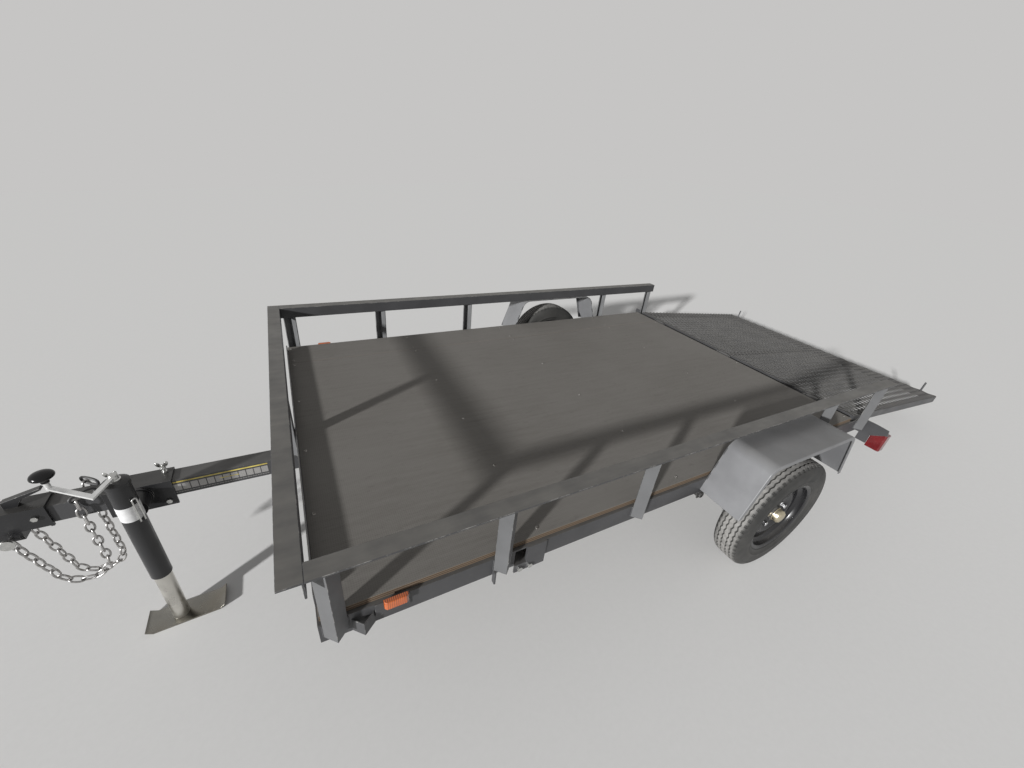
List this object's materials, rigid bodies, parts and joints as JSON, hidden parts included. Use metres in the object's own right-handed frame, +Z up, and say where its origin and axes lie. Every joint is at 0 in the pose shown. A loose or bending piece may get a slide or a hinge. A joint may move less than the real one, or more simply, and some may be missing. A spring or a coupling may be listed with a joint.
{
  "type": "utility trailer",
  "caption": "Single-axle open utility trailer with a flat deck, low side rails on posts, folding mesh ramp gate, tongue coupler and swivelling screw jack.",
  "frame": {"origin": "on the ground under the middle of the trailer's length and width", "axes": "+X forward towards the coupler, +Y to the trailer's left, +Z up"},
  "size_m": [4.5616, 1.9224, 0.797],
  "materials": {
    "black_steel": "semi-gloss black powder coat",
    "axle_black": "satin black paint",
    "deck_wood": "dark stain over the grain, raw brown edge",
    "zinc": "bright zinc plate",
    "galvanised": "dull galvanised",
    "mesh_steel": "semi-gloss black",
    "tyre": "matte black rubber",
    "rim_black": "gloss black",
    "cap_metal": "yellow zinc",
    "nut_chrome": "bright",
    "amber_lens": "clear amber",
    "red_lens": "clear red",
    "knob_plastic": "smooth"
  },
  "bodies": {
    "frame": {"side_rails": "black_steel", "rail_front": "black_steel", "posts": "black_steel", "frame_sides": "black_steel", "cross_members": "black_steel", "deck_sheet": "deck_wood", "deck_board": "deck_wood", "tongue": "black_steel", "coupler": "black_steel", "coupler_latch": "black_steel", "chain_tab": "black_steel", "chain_bolt": "galvanised", "safety_chains": "galvanised", "chain_hooks": "black_steel", "jack_bracket": "black_steel", "bracket_bolts": "zinc", "axle": "axle_black", "leaf_springs": "axle_black", "spring_hangers": "axle_black", "spring_u_bolts": "zinc", "spring_plates": "axle_black", "fender_left": "black_steel", "fender_right": "black_steel", "marker_lenses": "amber_lens", "marker_brackets": "black_steel", "tail_brackets": "black_steel", "tail_lenses": "red_lens", "gate_hinges": "black_steel"},
    "wheel_left": {"tyre_left": "tyre", "rim_left": "rim_black", "hub_left": "axle_black", "hub_cap_left": "cap_metal", "lug_nuts_left": "nut_chrome"},
    "wheel_right": {"tyre_right": "tyre", "rim_right": "rim_black", "hub_right": "axle_black", "hub_cap_right": "cap_metal", "lug_nuts_right": "nut_chrome"},
    "gate": {"gate_frame": "black_steel", "gate_mesh": "mesh_steel"},
    "jack": {"jack_tube": "black_steel", "jack_crank": "zinc", "jack_knob": "knob_plastic", "jack_pull_pin": "zinc"},
    "jack_leg": {"jack_leg": "zinc", "jack_foot": "zinc"}
  },
  "joints": [
    {"name": "wheel_left_spin", "type": "hinge", "parent": "frame", "child": "wheel_left", "pos_m": [-0.34003, 0.9002, 0.262], "axis": [0, 1, 0], "continuous": true},
    {"name": "wheel_right_spin", "type": "hinge", "parent": "frame", "child": "wheel_right", "pos_m": [-0.34003, -0.9002, 0.262], "axis": [0, 1, 0], "continuous": true},
    {"name": "gate_hinge", "type": "hinge", "parent": "frame", "child": "gate", "pos_m": [-1.13298, 0, 0.38316], "axis": [0, 1, 0], "range_deg": [-7.5, 95.5]},
    {"name": "jack_swivel", "type": "hinge", "parent": "frame", "child": "jack", "pos_m": [1.79721, 0.068, 0.5087], "axis": [0, -1, 0], "range_deg": [0, 90]},
    {"name": "jack_extend", "type": "slide", "parent": "jack", "child": "jack_leg", "axis": [0.0785, 0, -0.9969], "range_m": [-0.13, 0.1]}
  ]
}
